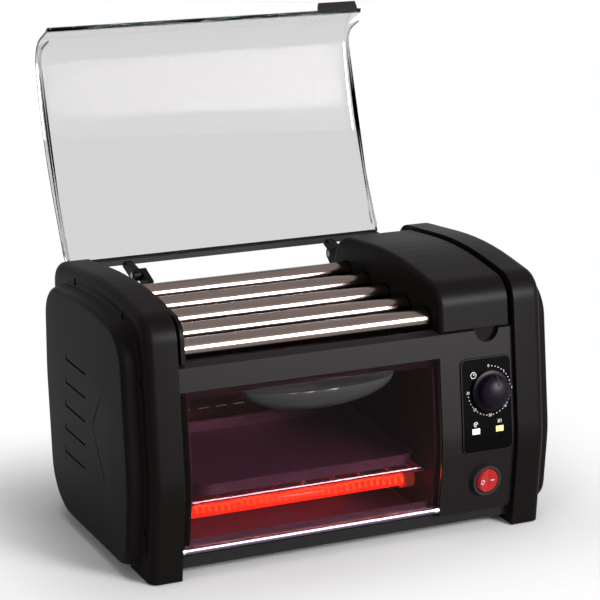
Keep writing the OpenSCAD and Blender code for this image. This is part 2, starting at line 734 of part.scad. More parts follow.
module timer_knob() color("#1a171c") placed() on_front(timer_x, timer_z, skin_inset) union() {
    translate([0, 0, plate_skin + running_gap]) cylinder(h = skirt_h, r1 = knob_skirt_d / 2,
        r2 = knob_skirt_d / 2 - 1);
    translate([0, 0, plate_skin + running_gap + skirt_h - 0.5])
        cylinder(h = knob_out - skirt_h, r1 = knob_grip_d / 2, r2 = knob_grip_d / 2 - 1);
    translate([-1, 3, knob_out]) cube([2, knob_grip_d / 2 - 5, 1.2]);
    translate([0, 0, -plastic_t - timer_bore + 1])
        cylinder(h = plastic_t + timer_bore + skirt_h, r = timer_shaft_d / 2);
}
module at_rocker() on_front(rocker_x, rocker_z, skin_inset) translate([0, 0, rocker_out])
    children();
module switch_body() color("#161416") placed() at_rocker() {
    difference() {
        union() {
            translate([0, 0, -switch_depth]) cylinder(h = switch_depth,
                r = rocker_hole_d / 2 - 0.1);
            translate([0, 0, -rocker_out]) cylinder(h = bezel_h + rocker_out, r1 = bezel_r,
                r2 = bezel_r - 1.4);
        }
        translate([0, 0, -8]) cylinder(h = 20, r = rocker_r + 0.3);
    }
    rotate([90, 0, 0]) cylinder(h = 2 * rocker_r + 1, r = rocker_pin_r, center = true);
}
module rocker() color("#d8232a") placed() at_rocker() difference() {
    intersection() {
        sphere(r = rocker_r);
        rotate([90, 0, 0]) linear_extrude(30, center = true) polygon([[-12, -5], [12, -5],
            [12, 3.2], [0, 3.2], [-12, 3.2 + 12 * tan(rocker_tilt)]]);
    }
    rotate([90, 0, 0]) cylinder(h = 30, r = rocker_pin_r + bush_gap, center = true);
}

// Door
module door_glass() color([0.25, 0.08, 0.06, 0.5]) placed() across(door_x0, door_x1)
    intersection() {
        band(skin_inset, skin_inset + glass_t);
        window(-100, 0, door_rod_z + door_rod_r + 0.1, door_top - 0.6);
    }
module door_rod() color("#d0d2d4") placed() difference() {
    rod(door_x0 + pivot_len + seat_gap, door_x1 - pivot_len - seat_gap, rod_y, door_rod_z,
        door_rod_r);
    rod(door_x0, door_x0 + pivot_len + pivot_reach + 0.5, rod_y, door_rod_z,
        pivot_pin_r + bush_gap);
    rod(door_x1 - pivot_len - pivot_reach - 0.5, door_x1, rod_y, door_rod_z,
        pivot_pin_r + bush_gap);
}
module door_pivots() color("#6f7175") placed() {
    rod(-cap_in, door_x0 + pivot_len, rod_y, door_rod_z, door_rod_r - 0.1);
    rod(door_x0 + pivot_len - 1, door_x0 + pivot_len + pivot_reach, rod_y, door_rod_z,
        pivot_pin_r);
    rod(door_x1 - pivot_len, housing_x, rod_y, door_rod_z, door_rod_r - 0.1);
    rod(door_x1 - pivot_len - pivot_reach, door_x1 - pivot_len + 1, rod_y, door_rod_z,
        pivot_pin_r);
}
function half_moon(w, r) = [for (a = [0:6:180]) [w / 2 * cos(a), r * sin(a)]];
module door_handle() color("#1d1b1c") placed() difference() {
    translate([handle_x, front_y(handle_z, skin_inset), handle_z]) intersection() {
        rotate([0, 90, 0]) rotate_extrude() rotate([0, 0, 90])
            polygon(half_moon(handle_w, handle_out));
        translate([-handle_w, -handle_out - 1, -handle_out - 1])
            cube([2 * handle_w, handle_out + 9, handle_out + 1]);
    }
    across(door_x0 - 10, door_x1 + 10) polygon(outline(skin_inset));
}

// Lid, drawn closed and then swung open to its stop
module opened() translate([0, hinge_y, hinge_z]) rotate([-lid_angle, 0, 0])
    translate([0, -hinge_y, -hinge_z]) children();
module above_line(rise) polygon([[-90, lid_line_z + rise - 38 * lid_slope],
    [170, lid_line_z + rise + 222 * lid_slope], [170, 260], [-90, 260]]);
module lid_sheet_2d() intersection() {
    band(-lid_rise, lid_t - lid_rise);
    above_line(0);
}
module lid_shell() color([0.8, 0.82, 0.84, 0.35]) placed() opened() {
    across(-lid_x, lid_x) lid_sheet_2d();
    for (side = [0, 1]) mirror([side, 0, 0]) across(lid_x - flange_t, lid_x) intersection() {
        band(lid_t - lid_rise - 0.5, flange_depth - lid_rise);
        above_line(3);
    }
}
module lid_front_strip() color("#1c1b1d") placed() opened() {
    across(-lid_x, lid_x) intersection() {
        band(-lid_rise - strip_t, -lid_rise);
        window(-100, 0, lid_line_z - 0.6, lid_line_z + strip_h);
    }
    translate([timer_x, front_y(lid_line_z + 1, 0) - lid_rise - strip_t + 0.3, lid_line_z - 0.4])
        intersection() {
            cylinder(h = 2, r = tab_w / 2);
            translate([-tab_w, -tab_out, -1]) cube([2 * tab_w, tab_out, 5]);
        }
}
module lid_rear_bar() color("#1c1b1d") placed() opened() difference() {
    union() {
        across(-bar_x, bar_x) intersection() {
            band(-lid_rise - 1, lid_t - lid_rise + 1);
            window(100, 160, bar_z, bar_z + bar_h);
        }
        for (side = [0, 1]) mirror([side, 0, 0]) across(hinge_arm_x, hinge_arm_x + arm_w) {
            translate([hinge_y, hinge_z]) circle(r = knuckle_r);
            polygon([[133.6, 182], [137.6, 187], [hinge_y + 3, hinge_z + 4],
                [hinge_y - 4.5, hinge_z - 2]]);
        }
    }
    across(-lid_x - 1, lid_x + 1) lid_sheet_2d();
    rod(-lid_x, lid_x, hinge_y, hinge_z, hinge_pin_d / 2 + bush_gap);
}
module hinge_brackets() color("#2b2a2c") placed() for (side = [0, 1]) mirror([side, 0, 0])
    difference() {
        across(hinge_arm_x - lug_w - running_gap, hinge_arm_x - running_gap) {
            translate([hinge_y, hinge_z]) circle(r = knuckle_r);
            difference() {
                polygon([[rail_y0 + 2, rail_z0 - 15], [hinge_y + 4, hinge_z - 3],
                    [hinge_y, hinge_z + knuckle_r], [rail_y0 + 2, rail_z1 - 1]]);
                polygon(outline(skin_inset));
            }
        }
        rod(0, cap_in, hinge_y, hinge_z, hinge_pin_d / 2 + 0.02);
    }
module hinge_pins() color("#c9cbce") placed() for (side = [0, 1]) mirror([side, 0, 0])
    rod(hinge_arm_x - lug_w - running_gap - 0.5, hinge_arm_x + arm_w + 0.8, hinge_y, hinge_z,
        hinge_pin_d / 2);

// Oven
module oven_wall(x0) difference() {
    across(x0, x0 + sheet_t) intersection() {
        polygon(outline(oven_inset));
        window(-100, 106, oven_bottom_z, drip_z);
    }
    for (y = [front_heater_y, rear_heater_y]) rod(x0 - 1, x0 + 2, y, lower_heater_z,
        quartz_d / 2 - 2);
}
module oven_left_wall() color("#4a4348") placed() oven_wall(oven_left_x);
module oven_right_wall() color("#4a4348") placed() oven_wall(oven_right_x);
module drip_plate() color("#8f9194") placed() {
    block(oven_left_x, oven_right_x + sheet_t, drip_y0, drip_y1, drip_z, drip_z + sheet_t);
    block(oven_left_x, oven_right_x + sheet_t, drip_y0, drip_y0 + sheet_t, drip_z,
        drip_z + 6);
}
// Each heater: left seat, right seat, depth and height
HEATERS = [[oven_left_x + sheet_t, oven_right_x, front_heater_y, lower_heater_z],
    [oven_left_x + sheet_t, oven_right_x, rear_heater_y, lower_heater_z],
    [-bed_x + bed_wall_t, housing_x, roller_mid_y, upper_heater_z]];
module quartz_tubes() color([0.95, 0.3, 0.2, 0.5]) placed() for (h = HEATERS) difference() {
    rod(h[0] + 4, h[1] - 4, h[2], h[3], quartz_d / 2);
    rod(h[0] + 3, h[1] - 3, h[2], h[3], quartz_d / 2 - 1);
}
module heater_end_caps() color("#e9e4da") placed() for (h = HEATERS, side = [0, 1])
    difference() {
        rod(side ? h[1] - heater_cap_len : h[0], side ? h[1] : h[0] + heater_cap_len, h[2],
            h[3], heater_cap_r);
        rod(side ? h[1] - heater_cap_len - 1 : h[0] + 3.9, side ? h[1] - 3.9 :
            h[0] + heater_cap_len + 1, h[2], h[3], quartz_d / 2 + 0.05);
    }
// A coil of wire along X: each ring is a small hexagon square to the wire
coil_sides = 6;
coil_rings = 8;
coil_x0 = HEATERS[0][0] + 6;
coil_x1 = HEATERS[0][1] - 6;
coil_pitch = (coil_x1 - coil_x0) / coil_turns;
coil_lean = atan(coil_pitch / (2 * PI * coil_r));
function coil_ring(i) = let (a = i * 360 / coil_rings) [
    for (k = [0:coil_sides - 1]) let (b = k * 360 / coil_sides)
        let (out = coil_r + coil_wire_r * cos(b), s = coil_wire_r * sin(b))
        [coil_x0 + i * coil_pitch / coil_rings + s * cos(coil_lean),
            out * cos(a) + s * sin(coil_lean) * sin(a),
            out * sin(a) - s * sin(coil_lean) * cos(a)]];
// Every turn is alike, so one turn is measured against the rings half a turn or more on
function coil_least_gap() = min([for (i = [0:coil_rings - 1],
    j = [i + coil_rings / 2:i + 2 * coil_rings], p = coil_ring(i), q = coil_ring(j)) norm(p - q)]);
echo(least_gap_of_the_heater_coil = coil_least_gap());
module wire_coil() {
    steps = coil_turns * coil_rings;
    n = coil_sides;
    skin = [for (i = [0:steps - 1], k = [0:n - 1]) let (a = i * n + k, b = i * n + (k + 1) % n)
        each [[a, b, b + n], [a, b + n, a + n]]];
    polyhedron([for (i = [0:steps]) each coil_ring(i)],
        concat([[for (k = [n - 1:-1:0]) k]], skin, [[for (k = [0:n - 1]) steps * n + k]]));
}
module heating_coils() color("#ff6a2a") placed() {
    h = HEATERS[0];
    translate([0, h[2], h[3]]) wire_coil();
    for (i = [1, 2]) rod(HEATERS[i][0] + 4, HEATERS[i][1] - 4, HEATERS[i][2],
        HEATERS[i][3], coil_r + coil_wire_r);
    for (x = [h[0] + 3.9, h[1] - 6.5]) rod(x, x + 2.6, h[2], h[3], coil_r + coil_wire_r);
}
module rack_rails() color("#8f9194") placed() {
    block(oven_left_x + sheet_t, oven_left_x + sheet_t + rail_w, rack_y0, rack_y1,
        rail_top_z - sheet_t, rail_top_z);
    block(oven_right_x - rail_w, oven_right_x, rack_y0, rack_y1, rail_top_z - sheet_t,
        rail_top_z);
}
module rack_wire_x(y) rod(rack_x0, rack_x1, y, rack_z, wire_d / 2);
module rack_wire_y(x) translate([x, rack_y0, rack_z]) rotate([-90, 0, 0])
    cylinder(h = rack_y1 - rack_y0 - 4, r = wire_d / 2);
module wire_rack() color("#d0d2d4") placed() {
    rack_wire_x(rack_y0);
    rack_wire_x(rack_y1 - 4);
    rack_wire_y(rack_x0);
    rack_wire_y(rack_x1);
    for (i = [1:rack_bars - 2]) rack_wire_y(rack_x0 + i * (rack_x1 - rack_x0) / (rack_bars - 1));
}
module tray_block(x0, x1, y0, y1, z0, z1, r) translate([0, 0, z0]) linear_extrude(z1 - z0) {
    translate([x0 + r, y0]) square([x1 - x0 - 2 * r, y1 - y0]);
    translate([x0, y0 + r]) square([x1 - x0, y1 - y0 - 2 * r]);
    for (x = [x0 + r, x1 - r], y = [y0 + r, y1 - r]) translate([x, y]) circle(r = r);
}
module bun_tray() color("#3b3640") placed() difference() {
    union() {
        tray_block(tray_x0, tray_x1, tray_y0, tray_y1, tray_z, tray_z + tray_h, tray_r);
        tray_block(tray_x0 - 2, tray_x1 + 2, tray_y0 - 2, tray_y1 + 2,
            tray_z + tray_h - sheet_t, tray_z + tray_h, tray_r + 2);
    }
    tray_block(tray_x0 + sheet_t, tray_x1 - sheet_t, tray_y0 + sheet_t, tray_y1 - sheet_t,
        tray_z + sheet_t, tray_z + tray_h + 1, tray_r - sheet_t);
}
module crumb_tray() color("#5a5460") placed() {
    block(crumb_x0, crumb_x1, crumb_y0, crumb_y1, crumb_z, crumb_z + sheet_t);
    block(crumb_x0, crumb_x1, crumb_y0, crumb_y0 + sheet_t, crumb_z, crumb_front_z);
    for (x = [crumb_x0, crumb_x1 - sheet_t]) block(x, x + sheet_t, crumb_y0, crumb_y1,
        crumb_z, crumb_z + crumb_side_h);
    block(crumb_x0, crumb_x1, crumb_y1 - sheet_t, crumb_y1, crumb_z, crumb_z + crumb_side_h);
    block(lip_x0, lip_x1, crumb_y1 - sheet_t, crumb_y1 + lip_out,
        crumb_z + crumb_side_h - sheet_t, crumb_z + crumb_side_h);
}

left_end_cap();
right_end_cap();
cap_screws();
foot_pads();
left_side_plate();
right_side_plate();
base_pan();
rear_panel();
left_bed_wall();
drive_housing();
front_cover();
oven_left_wall();
oven_right_wall();
drip_plate();
quartz_tubes();
heating_coils();
heater_end_caps();
rack_rails();
gear_plate_inner();
gear_plate_outer();
plate_spacers();
roller_bushes();
drive_motor();
timer_body();
switch_body();
control_plate();
roll_lens();
heat_lens();
hinge_brackets();
hinge_pins();
door_pivots();
cord_gland();
crumb_tray();
wire_rack();
bun_tray();
door_glass();
door_handle();
door_rod();
lid_shell();
lid_front_strip();
lid_rear_bar();
roller_1();
roller_2();
roller_3();
roller_4();
roller_5();
roller_gear_1();
roller_gear_2();
roller_gear_3();
roller_gear_4();
roller_gear_5();
idler_gear_1();
idler_gear_2();
idler_gear_3();
idler_gear_4();
motor_pinion();
timer_knob();
rocker();
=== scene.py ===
import json
import math

import bmesh
import bpy
from mathutils import Matrix, Vector

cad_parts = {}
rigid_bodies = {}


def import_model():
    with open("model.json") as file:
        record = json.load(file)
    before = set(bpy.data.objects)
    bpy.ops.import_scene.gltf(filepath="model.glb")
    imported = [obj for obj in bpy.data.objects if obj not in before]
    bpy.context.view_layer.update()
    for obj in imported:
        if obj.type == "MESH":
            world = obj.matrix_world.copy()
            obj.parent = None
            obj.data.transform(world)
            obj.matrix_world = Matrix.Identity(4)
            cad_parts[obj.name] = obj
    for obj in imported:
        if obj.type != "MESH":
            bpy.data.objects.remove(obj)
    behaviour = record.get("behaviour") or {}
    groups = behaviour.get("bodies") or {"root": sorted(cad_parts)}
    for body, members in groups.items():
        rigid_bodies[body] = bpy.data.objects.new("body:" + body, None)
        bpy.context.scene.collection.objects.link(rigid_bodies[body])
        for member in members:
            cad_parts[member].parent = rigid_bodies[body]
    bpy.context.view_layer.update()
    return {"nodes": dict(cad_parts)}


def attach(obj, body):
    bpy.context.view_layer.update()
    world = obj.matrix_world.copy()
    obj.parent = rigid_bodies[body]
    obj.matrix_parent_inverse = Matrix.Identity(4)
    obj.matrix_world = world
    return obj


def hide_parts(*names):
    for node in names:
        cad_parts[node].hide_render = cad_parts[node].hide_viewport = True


for leftover in list(bpy.data.objects):
    bpy.data.objects.remove(leftover)
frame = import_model()

# ---- Camera, light and floor
# The machine stands on a white sweep, seen from its front left and a little above.
# A low softbox at the front right puts the grey sheen on the curved fronts.
scene = bpy.context.scene
scene.view_settings.view_transform = "Standard"

camera_place = Vector((-0.8121, -1.6443, 0.7335))
camera_yaw, camera_pitch, camera_roll = (math.radians(a) for a in (26.956, 17.45, 1.81))
ahead = Vector((math.sin(camera_yaw) * math.cos(camera_pitch),
                math.cos(camera_yaw) * math.cos(camera_pitch), -math.sin(camera_pitch)))
level = Vector((math.cos(camera_yaw), -math.sin(camera_yaw), 0))
upward = level.cross(ahead)
side = level * math.cos(camera_roll) + upward * math.sin(camera_roll)
top = upward * math.cos(camera_roll) - level * math.sin(camera_roll)
camera = bpy.data.objects.new("camera", bpy.data.cameras.new("camera"))
camera.data.lens = 146.6
camera.data.sensor_width = 36
camera.data.clip_start = 0.05
camera.matrix_world = Matrix((side, top, -ahead)).transposed().to_4x4()
camera.matrix_world.translation = camera_place
scene.collection.objects.link(camera)
scene.camera = camera


def softbox(name, direction, distance, size, watts, gloss=True, shade=True):
    """A square lamp. Without gloss it makes no highlight, without shade only highlights."""
    lamp = bpy.data.lights.new(name, "AREA")
    lamp.shape = "SQUARE"
    lamp.size = size
    lamp.energy = watts
    thing = bpy.data.objects.new(name, lamp)
    away = Vector(direction).normalized()
    thing.matrix_world = away.to_track_quat("Z", "Y").to_matrix().to_4x4()
    thing.matrix_world.translation = away * distance + Vector((0, 0, 0.12))
    thing.visible_glossy, thing.visible_diffuse = gloss, shade
    scene.collection.objects.link(thing)


softbox("key_light", (0.43, -0.80, 0.38), 2.0, 0.7, 34)
softbox("sheen_light", (0.43, -0.84, 0.33), 2.0, 0.6, 120, shade=False)
softbox("top_light", (0.0, 0.1, 1.0), 2.2, 1.6, 14, gloss=False)
softbox("fill_light", (-0.9, -0.6, 0.35), 2.4, 1.2, 7)


def seen_directly(nodes, links):
    """1 for camera, glossy and transmission rays, which all see the white backdrop."""
    path = nodes.new("ShaderNodeLightPath")
    total = path.outputs["Is Camera Ray"]
    for name in ("Is Glossy Ray", "Is Transmission Ray"):
        more = nodes.new("ShaderNodeMath")
        more.operation = "MAXIMUM"
        links.new(total, more.inputs[0])
        links.new(path.outputs[name], more.inputs[1])
        total = more.outputs[0]
    return total


scene.world = bpy.data.worlds.new("white_studio")
scene.world.use_nodes = True
nodes, links = scene.world.node_tree.nodes, scene.world.node_tree.links
room, backdrop = nodes["Background"], nodes.new("ShaderNodeBackground")
room.inputs["Color"].default_value = (1, 1, 1, 1)
room.inputs["Strength"].default_value = 0.28
backdrop.inputs["Color"].default_value = (1, 1, 1, 1)
choose = nodes.new("ShaderNodeMixShader")
links.new(seen_directly(nodes, links), choose.inputs[0])
links.new(room.outputs[0], choose.inputs[1])
links.new(backdrop.outputs[0], choose.inputs[2])
links.new(choose.outputs[0], nodes["World Output"].inputs["Surface"])

floor_mesh = bpy.data.meshes.new("floor")
floor_mesh.from_pydata([(-3, -3, 0), (3, -3, 0), (3, 3, 0), (-3, 3, 0)], [], [(0, 1, 2, 3)])
floor = bpy.data.objects.new("floor", floor_mesh)
scene.collection.objects.link(floor)
pale = bpy.data.materials.new("pale_floor")
pale.use_nodes = True
nodes, links = pale.node_tree.nodes, pale.node_tree.links
nodes.remove(nodes["Principled BSDF"])
matt, clear = nodes.new("ShaderNodeBsdfDiffuse"), nodes.new("ShaderNodeBsdfTransparent")
matt.inputs["Color"].default_value = (0.9, 0.9, 0.9, 1)
ground = nodes.new("ShaderNodeTexCoord")
footprint_middle, footprint_half = (0, 0.06, 0), (0.165, 0.087, 10)
fade_from, fade_to = 0.01, 0.17
step_from = ground.outputs["Object"]
for operation, amount in (("ADD", footprint_middle), ("ABSOLUTE", None),
                          ("SUBTRACT", footprint_half), ("MAXIMUM", (0, 0, 0))):
    step = nodes.new("ShaderNodeVectorMath")
    step.operation = operation
    if amount:
        step.inputs[1].default_value = amount
    links.new(step_from, step.inputs[0])
    step_from = step.outputs[0]
reach = nodes.new("ShaderNodeVectorMath")
reach.operation = "LENGTH"
fade = nodes.new("ShaderNodeMapRange")
fade.interpolation_type = "SMOOTHSTEP"
fade.inputs["From Min"].default_value = fade_from
fade.inputs["From Max"].default_value = fade_to
links.new(step_from, reach.inputs[0])
links.new(reach.outputs["Value"], fade.inputs["Value"])
blend = nodes.new("ShaderNodeMixShader")
links.new(fade.outputs[0], blend.inputs[0])
links.new(matt.outputs[0], blend.inputs[1])
links.new(clear.outputs[0], blend.inputs[2])
links.new(blend.outputs[0], nodes["Material Output"].inputs["Surface"])
floor_mesh.materials.append(pale)

# ---- End caps
# Two moulded black covers, each with a rounded rim and a raised panel with five vent slots.
# They carry the whole machine on their own feet and are held by screws round the rim.
MM = 0.001
MIDDLE_Y = 83.7
CAP_CORNERS = [(-64, -20, 0), (108.5, -20, 0), (131, 110, 220), (136.5, 192, 16),
               (34, 205.2, 330), (-45, 196, 22), (-66.8, 72, 120)]
PANEL_RADII = [20, 44, 200, 26, 300, 34, 110]
CAP_SCREWS = [(86, 188.6), (-8, 188.4), (-43.6, 150), (-55.6, 39), (124, 150), (111.4, 50)]
cap_in, rim_x, rim_edge = 140.0, 165.0, 7.0
panel_x, panel_inset, panel_edge, panel_root, panel_draft = 178.0, 13.0, 5.0, 3.0, 1.5
panel_foot = -6.3
vent_top, vent_pitch, vent_y0, vent_y1, vent_hook, vent_w = 132.5, 18.6, 33, 73, 5, 1.6


def place(x, depth, height):
    return (x * MM, (depth - MIDDLE_Y) * MM, height * MM)


def moved_in(corners, d):
    """The corners of a closed outline moved in by d, with their radii kept in step."""
    out = []
    for i, corner in enumerate(corners):
        p = Vector(corner[:2])
        before, after = Vector(corners[i - 1][:2]), Vector(corners[(i + 1) % len(corners)][:2])
        u, v = (p - before).normalized(), (after - p).normalized()
        a, b = Vector((-u.y, u.x)), Vector((-v.y, v.x))
        half = (a + b).normalized()
        q = p + half * (d / half.dot(a))
        out.append((q.x, q.y, max(corner[2] - d, 0.5) if corner[2] else 0))
    return out


def rounded(corners):
    """The outline with each corner turned into an arc of short steps."""
    out = []
    for i, corner in enumerate(corners):
        b = Vector(corner[:2])
        if not corner[2]:
            out.append(b)
            continue
        u = (Vector(corners[i - 1][:2]) - b).normalized()
        v = (Vector(corners[(i + 1) % len(corners)][:2]) - b).normalized()
        opening = u.angle(v)
        middle = b + (u + v).normalized() * (corner[2] / math.sin(opening / 2))
        start = b + u * (corner[2] / math.tan(opening / 2)) - middle
        sweep = math.pi - opening
        steps = max(6, int(math.degrees(sweep) / 2.5))
        for k in range(steps + 1):
            turn = sweep * k / steps
            c, s = math.cos(turn), math.sin(turn)
            out.append(middle + Vector((start.x * c - start.y * s, start.x * s + start.y * c)))
    return out


def outline(d):
    return rounded(moved_in(CAP_CORNERS, d))


def panel_outline(d):
    c = list(CAP_CORNERS)
    for i, above in ((0, 6), (1, 2)):
        share = (panel_foot - c[i][1]) / (c[above][1] - c[i][1])
        c[i] = (c[i][0] + share * (c[above][0] - c[i][0]), panel_foot, 0)
    c = moved_in(c, panel_inset)
    return rounded(moved_in([(p[0], p[1], r) for p, r in zip(c, PANEL_RADII)], d))


def evenly_round(points, centre, count):
    """The outline as count points at even angles about centre, so that rings join up."""
    out = []
    for k in range(count):
        ray = Vector((math.cos(math.tau * k / count), math.sin(math.tau * k / count)))
        for a, b in zip(points, points[1:] + points[:1]):
            p, e = a - centre, b - a
            cross = ray.x * e.y - ray.y * e.x
            if abs(cross) < 1e-12:
                continue
            reach_out = (p.x * e.y - p.y * e.x) / cross
            along = (p.x * ray.y - p.y * ray.x) / cross
            if reach_out > 0 and -1e-9 <= along <= 1 + 1e-9:
                out.append(centre + ray * reach_out)
                break
    return out


def skin_of(name, rings):
    """A closed skin over rings of equal count: (x, points in depth and height)."""
    count = len(rings[0][1])
    verts = [place(x, p.x, p.y) for x, ring in rings for p in ring]
    faces = [(j * count + i, j * count + (i + 1) % count, (j + 1) * count + (i + 1) % count,
              (j + 1) * count + i) for j in range(len(rings) - 1) for i in range(count)]
    last = (len(rings) - 1) * count
    faces += [tuple(range(count))[::-1], tuple(range(last, last + count))]
    mesh = bpy.data.meshes.new(name)
    mesh.from_pydata(verts, [], faces)
    tidy_normals(mesh)
    thing = bpy.data.objects.new(name, mesh)
    scene.collection.objects.link(thing)
    return thing


def tidy_normals(mesh):
    work = bmesh.new()
    work.from_mesh(mesh)
    bmesh.ops.recalc_face_normals(work, faces=work.faces)
    work.to_mesh(mesh)
    work.free()


def prism(x0, x1, points):
    """Verts and faces of a straight bar along x over points in depth and height."""
    n = len(points)
    verts = [place(x, p[0], p[1]) for x in (x0, x1) for p in points]
    faces = [tuple(range(n))[::-1], tuple(range(n, 2 * n))]
    faces += [(i, (i + 1) % n, n + (i + 1) % n, n + i) for i in range(n)]
    return verts, faces


def disc(depth, height, r, count=32):
    return [(depth + r * math.cos(math.tau * k / count),
             height + r * math.sin(math.tau * k / count)) for k in range(count)]


def slab(a, b, width):
    """A narrow four-cornered strip from a to b, in depth and height."""
    a, b = Vector(a), Vector(b)
    w = (b - a).normalized().orthogonal() * width / 2
    return [tuple(a + w), tuple(a - w), tuple(b - w), tuple(b + w)]


def joined(name, shapes):
    verts, faces = [], []
    for v, f in shapes:
        faces += [tuple(i + len(verts) for i in face) for face in f]
        verts += v
    mesh = bpy.data.meshes.new(name)
    mesh.from_pydata(verts, [], faces)
    tidy_normals(mesh)
    thing = bpy.data.objects.new(name, mesh)
    scene.collection.objects.link(thing)
    return thing


def cut(thing, *cutters):
    """Takes each cutter out of the piece and throws the cutter away."""
    for cutter in cutters:
        step = thing.modifiers.new("cut", "BOOLEAN")
        step.operation, step.solver, step.object = "DIFFERENCE", "EXACT", cutter
        solid = bpy.data.meshes.new_from_object(
            thing.evaluated_get(bpy.context.evaluated_depsgraph_get()))
        thing.modifiers.clear()
        thing.data = solid
        bpy.data.objects.remove(cutter)


def smooth(thing, angle=32):
    for face in thing.data.polygons:
        face.use_smooth = True
    thing.data.set_sharp_from_angle(angle=math.radians(angle))


def finish(name, colour, rough, metallic=0.0, specular=0.5, grain=900, relief=0.15,
           streak=(1, 1, 1), tone=0.15):
    """A surface finish: close tones, uneven gloss and a fine relief, all from one speckle."""
    mat = bpy.data.materials.new(name)
    mat.use_nodes = True
    nodes, links = mat.node_tree.nodes, mat.node_tree.links
    shader = nodes["Principled BSDF"]
    shader.inputs["Metallic"].default_value = metallic
    shader.inputs["Specular IOR Level"].default_value = specular
    where, stretch = nodes.new("ShaderNodeTexCoord"), nodes.new("ShaderNodeMapping")
    speckle = nodes.new("ShaderNodeTexNoise")
    stretch.inputs["Scale"].default_value = streak
    speckle.inputs["Scale"].default_value = grain
    speckle.inputs["Detail"].default_value = 4
    links.new(where.outputs["Object"], stretch.inputs["Vector"])
    links.new(stretch.outputs[0], speckle.inputs["Vector"])
    tones = nodes.new("ShaderNodeValToRGB")
    for stop, at, k in zip(tones.color_ramp.elements, (0.35, 0.65), (1 - tone, 1 + tone)):
        stop.position = at
        stop.color = (*[min(1, c * k) for c in colour], 1)
    links.new(speckle.outputs["Fac"], tones.inputs[0])
    links.new(tones.outputs[0], shader.inputs["Base Color"])
    gloss = nodes.new("ShaderNodeMapRange")
    gloss.inputs["To Min"].default_value = max(0.02, rough - 0.05)
    gloss.inputs["To Max"].default_value = rough + 0.05
    links.new(speckle.outputs["Fac"], gloss.inputs["Value"])
    links.new(gloss.outputs[0], shader.inputs["Roughness"])
    bump = nodes.new("ShaderNodeBump")
    bump.inputs["Strength"].default_value = relief
    bump.inputs["Distance"].default_value = 0.0002
    links.new(speckle.outputs["Fac"], bump.inputs["Height"])
    links.new(bump.outputs[0], shader.inputs["Normal"])
    return mat


def dress(mat, *names):
    """Gives CAD nodes, by name, their finish."""
    for name in names:
        node = frame["nodes"][name]
        if not node.material_slots:
            node.data.materials.append(mat)
        for slot in node.material_slots:
            slot.material = mat


black_plastic = finish("black_plastic", (0.0070, 0.0054, 0.0053), 0.42, specular=0.028)
middle = Vector((35, 95))
ring_count = 300


def cap_ring(x, d):
    return x, evenly_round(outline(d), middle, ring_count)


def panel_ring(x, d):
    return x, evenly_round(panel_outline(d), middle, ring_count)


rim_rings = [cap_ring(rim_x - rim_edge * (1 - math.sin(a)), rim_edge * (1 - math.cos(a)))
             for a in (math.radians(t) for t in range(0, 91, 10))]
root_rings = [panel_ring(rim_x + panel_root * (1 - math.cos(a)), panel_root * (math.sin(a) - 1))
              for a in (math.radians(t) for t in range(0, 91, 15))]
crown_rings = [panel_ring(panel_x - panel_edge * (1 - math.sin(a)),
                          panel_draft + panel_edge * (1 - math.cos(a)))
               for a in (math.radians(t) for t in range(0, 91, 10))]
right_cap = skin_of("right_end_cap_shell", [cap_ring(cap_in, 0)] + rim_rings + root_rings
                    + crown_rings)
feet = [(-27, -30), (-27, 0), (-21, 6.5), (81, 6.5), (87, 0), (87, -30)]
below = prism(130, 190, [(-110, -40), (-110, 0.8), (170, 0.8), (170, -40)])
arch = prism(130, 190, feet)
recesses = [prism(rim_x - 2, rim_x + 1, disc(y, z, 3)) for y, z in CAP_SCREWS]
vents = []
for i in range(5):
    z = vent_top - vent_pitch * i
    vents.append(prism(170, 190, [
        (vent_y0, z), (vent_y1, z), (vent_y1, z + vent_hook), (vent_y1 - vent_w, z + vent_hook),
        (vent_y1 - vent_w, z + vent_w), (vent_y0, z + vent_w)]))
creases = [prism(panel_x - 0.8, 190, slab(a, b, 0.9))
           for a, b in (((3, 126), (18.6, 98.7)), ((18.6, 97.3), (-7, 63)))]
cut(right_cap, joined("cutter", [below]), joined("cutter", [arch]),
    joined("cutter", recesses + vents + creases))

left_cap = bpy.data.objects.new("left_end_cap_shell", right_cap.data.copy())
left_cap.data.transform(Matrix.Scale(-1, 4, (1, 0, 0)))
left_cap.data.flip_normals()
scene.collection.objects.link(left_cap)
for cap, node in ((right_cap, "right_end_cap"), (left_cap, "left_end_cap")):
    cap.data.materials.append(black_plastic)
    smooth(cap)
    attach(cap, "root")
    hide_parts(node)

# Cap screws and rubber pads: blackened steel screws in the recesses, and soft pads under
# each foot. The screws hold the caps to the side plates.
dark_steel = finish("blackened_steel", (0.012, 0.011, 0.012), 0.45, specular=0.1, relief=0.08)
dress(dark_steel, "cap_screws")
dress(finish("foot_rubber", (0.02, 0.02, 0.02), 0.8, grain=1400), "foot_pads")

# ---- Chassis
# Folded steel sheet. The base, back, side plates and the plate over the oven, which catches
# what drips, are blackened. The plates that carry the gears and the rack's rails are zinc plated.
dress(dark_steel, "base_pan", "rear_panel", "left_side_plate", "right_side_plate", "drip_plate")
zinc = finish("zinc_sheet", (0.5, 0.51, 0.53), 0.34, metallic=0.9, grain=160, relief=0.05,
              tone=0.08)
dress(zinc, "gear_plate_inner", "gear_plate_outer", "plate_spacers", "rack_rails",
      "door_pivots")


def rear_depth(height):
    """Depth of the rear panel's outer face at a height."""
    line = sorted((p.y, p.x) for p in outline(panel_in) if p.x > 60 and p.y < 190)
    for (z0, y0), (z1, y1) in zip(line, line[1:]):
        if z0 <= height <= z1 and z1 > z0:
            return y0 + (y1 - y0) * (height - z0) / (z1 - z0)
    return line[-1][1]


